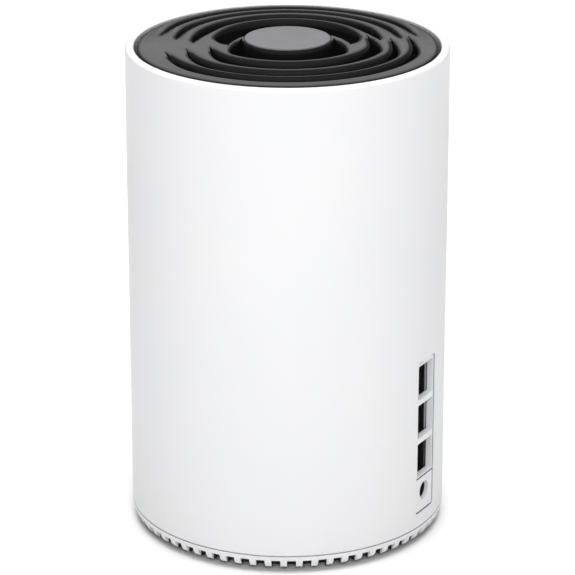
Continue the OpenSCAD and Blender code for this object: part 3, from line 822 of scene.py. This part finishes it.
def vent_slots(r, degrees):
    """1 inside the air slots in the floors of the two inner grooves, 0 outside."""
    cut = np.zeros(np.broadcast(r, degrees).shape)
    for slot_r in AIR_SLOT_RINGS:
        for side in AIR_SLOT_SIDES:
            k = np.round((degrees - side) / AIR_SLOT_PITCH)
            off = np.radians(degrees - side - AIR_SLOT_PITCH * k) * r
            near = (np.abs(r - slot_r) < AIR_SLOT_HALF_L) & (np.abs(off) < AIR_SLOT_HALF_W)
            cut = np.maximum(cut, near & (k >= 0) & (k <= AIR_SLOT_LAST))
    return cut


def make_top_vent():
    """Black dome: one height field in polar steps, closed by its wall and its underside."""
    flat_end = VENT_R - EDGE_W
    count = round((flat_end - PLATE_SEAT_R) / RADIAL_STEP)
    radii = list(np.linspace(PLATE_SEAT_R, flat_end, count))
    edge = arc(flat_end, dome_z(flat_end) - EDGE_H, EDGE_W, EDGE_H, 90, 0, 12)[1:]
    degrees = np.arange(VENT_ANGLES) * 360 / VENT_ANGLES
    grid_r, grid_a = np.meshgrid(radii, degrees, indexing="ij")
    height = dome_z(grid_r) - groove_depths(grid_r, grid_a)
    on_floor = height < GROOVE_FLOOR_Z + 0.05
    height = np.where(vent_slots(grid_r, grid_a) * on_floor, VENT_LOW.z + 0.4, height)
    turn = np.radians(degrees + SWIRL_TURN)
    levels = [(PLATE_SEAT_R, PLATE_SEAT_Z), *zip(radii, height), *edge, (VENT_R, VENT_LOW.z)]
    rings = [np.c_[r * np.cos(turn), r * np.sin(turn), np.broadcast_to(z, turn.shape)] for r, z in levels]
    points = np.vstack(rings)
    faces = []
    for i in range(len(rings) - 1):
        low, high = i * VENT_ANGLES, (i + 1) * VENT_ANGLES
        for k in range(VENT_ANGLES):
            m = (k + 1) % VENT_ANGLES
            faces.append((low + k, high + k, high + m, low + m))
    last = (len(rings) - 1) * VENT_ANGLES
    faces.append(tuple(range(VENT_ANGLES)))
    faces.append(tuple(last + k for k in range(VENT_ANGLES)))
    vent = add_mesh("top_vent", points, faces)
    smooth_below(vent, 50)
    place(vent, "top_grille")


def make_centre_plate():
    """Satin plate with a rounded edge, crowned like the dome."""
    r = PLATE_HIGH.x
    edge = 0.5
    profile = [(0, PLATE_LOW.z), (r - 0.2, PLATE_LOW.z), (r, PLATE_LOW.z + 0.2)]
    profile += arc(r - edge, dome_z(r - edge) - edge, edge, edge, 0, 90, 6)
    profile += [(x, dome_z(x)) for x in np.linspace(r - edge, 0, 14)[1:-1]] + [(0, DOME_TOP_Z)]
    plate = revolve("centre_plate_satin", profile, 192)
    smooth_below(plate, 30)
    place(plate, "centre_plate")


# ---------------------------------------------------------------- base and foot


def make_base():
    """White base: rounded lower edge, air slots all round, and the hole for the reset button."""
    bottom, top, seam = BASE_LOW.z, BASE_HIGH.z, SHELL_LOW.z - SEAM_GAP
    lip_outer, lip_inner = INNER_R - 0.2, INNER_R - 2.2
    profile = [(0, bottom)]
    profile += arc(BODY_R - BASE_EDGE_W, seam, BASE_EDGE_W, seam - bottom, -90, 0, 12)
    profile += [(lip_outer, seam), (lip_outer, top), (lip_inner, top)]
    profile += [(lip_inner, BASE_FLOOR_Z), (0, BASE_FLOOR_Z)]
    base = revolve("base", profile, 384)
    slots = []
    for i in range(SLOT_COUNT):
        slot = block("slot", (FOOT_HIGH.x + 0.5, -SLOT_W / 2, 0), (BODY_R + 1, SLOT_W / 2, SLOT_TOP_Z))
        slots.append(turned(slot, 360 * (i + 0.5) / SLOT_COUNT))
    combine(base, [merge("slots", slots)], "DIFFERENCE")
    outer_r, inner_r = FOOT_HIGH.x + 0.1, FOOT_INNER_R - 0.1
    section = [(outer_r, 0), (outer_r, FOOT_SEAT_Z), (inner_r, FOOT_SEAT_Z), (inner_r, 0)]
    groove = revolve("groove", section, 384)
    hole = revolve("hole", [(0, 0), (BUTTON_HOLE_R, 0), (BUTTON_HOLE_R, 5), (0, 5)], 48)
    button = (BUTTON_LOW + BUTTON_HIGH) / 2
    hole.data.transform(Matrix.Translation((button.x * MM, button.y * MM, 0)))
    combine(base, [groove, hole], "DIFFERENCE")
    smooth_below(base, 32)
    soften(base, 0.12, 40)
    place(base, "base_cover")


def make_foot():
    """Soft ring with rounded lower edges."""
    r, inner, outer, top = FOOT_EDGE_R, FOOT_INNER_R, FOOT_HIGH.x, FOOT_HIGH.z
    profile = arc(inner + r, r, r, r, 180, 270, 5) + arc(outer - r, r, r, r, 270, 360, 5)
    profile += [(outer, top), (inner, top)]
    foot = revolve("foot_ring", profile)
    smooth_below(foot, 30)
    place(foot, "rubber_foot")


# ---------------------------------------------------------------- put it together

make_camera()
make_studio()
make_case()
make_top_vent()
make_centre_plate()
make_base()
make_foot()

REPLACED = {"outer_shell", "top_grille", "centre_plate", "base_cover", "rubber_foot"}
for node, obj in NODES.items():
    if node not in REPLACED:
        obj.data.materials.clear()
        obj.data.materials.append(MATERIALS[SLOT_OF[node]])
        soften(obj, 0.08, 40, 1)
